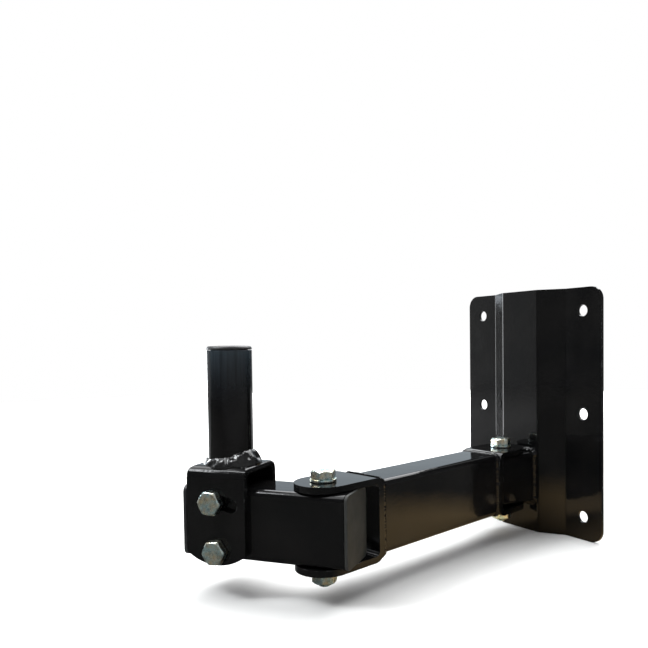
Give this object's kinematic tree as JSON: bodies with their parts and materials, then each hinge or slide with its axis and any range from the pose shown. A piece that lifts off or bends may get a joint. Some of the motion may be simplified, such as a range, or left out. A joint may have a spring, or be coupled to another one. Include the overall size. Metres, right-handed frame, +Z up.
{
  "type": "loudspeaker wall bracket",
  "caption": "Articulated wall bracket: pressed steel back plate, two box-section arms on upright hinge bolts, and a tilting head with an upright round spigot.",
  "frame": {"origin": "centre of the back plate's rear face, which is the wall plane y = 0", "axes": "+Y into the wall, so the bracket reaches out towards -Y; +Z up along the plate; +X towards the side that the inner arm leans to"},
  "size_m": [0.174, 0.3547, 0.24],
  "materials": {
    "paint": "gloss black paint over welded steel",
    "zinc": "bright zinc plate",
    "plastic": "black moulded plastic"
  },
  "bodies": {
    "wall_base": {"wall_plate": "paint", "wall_stub": "paint", "wall_stub_cap": "paint", "wall_stub_weld": "paint", "wall_sleeve": "zinc"},
    "inner_arm": {"inner_arm_tube": "paint", "wall_strap": "paint", "elbow_strap": "paint", "wall_strap_weld": "paint", "elbow_strap_weld": "paint", "wall_bolt": "zinc", "wall_head_washer": "zinc", "wall_nut_washer": "zinc", "wall_nut": "zinc", "elbow_bolt": "zinc", "elbow_head_washer": "zinc", "elbow_nut_washer": "zinc", "elbow_nut": "zinc"},
    "outer_arm": {"outer_arm_tube": "paint", "outer_heel_cap": "paint", "outer_tip_plug": "plastic", "elbow_sleeve": "zinc", "tilt_pivot_bolt": "zinc", "tilt_pivot_nut_washer": "zinc", "tilt_pivot_nut": "zinc", "tilt_lock_bolt": "zinc", "tilt_lock_nut_washer": "zinc", "tilt_lock_nut": "zinc"},
    "tilt_head": {"tilt_head": "paint", "spigot_tube": "paint", "spigot_cap": "plastic", "spigot_weld": "paint"}
  },
  "joints": [
    {"name": "wall_swivel", "type": "hinge", "parent": "wall_base", "child": "inner_arm", "pos_m": [0, -0.0445, -0.065], "axis": [0, 0, 1], "range_deg": [-75.5, 54.5]},
    {"name": "elbow_swivel", "type": "hinge", "parent": "inner_arm", "child": "outer_arm", "pos_m": [0.04264, -0.27458, -0.065], "axis": [0, 0, 1], "range_deg": [-25.5, 154.5]},
    {"name": "head_tilt", "type": "hinge", "parent": "outer_arm", "child": "tilt_head", "pos_m": [-0.01933, -0.31961, -0.085], "axis": [0.5878, -0.809, 0], "range_deg": [0, 24]}
  ]
}
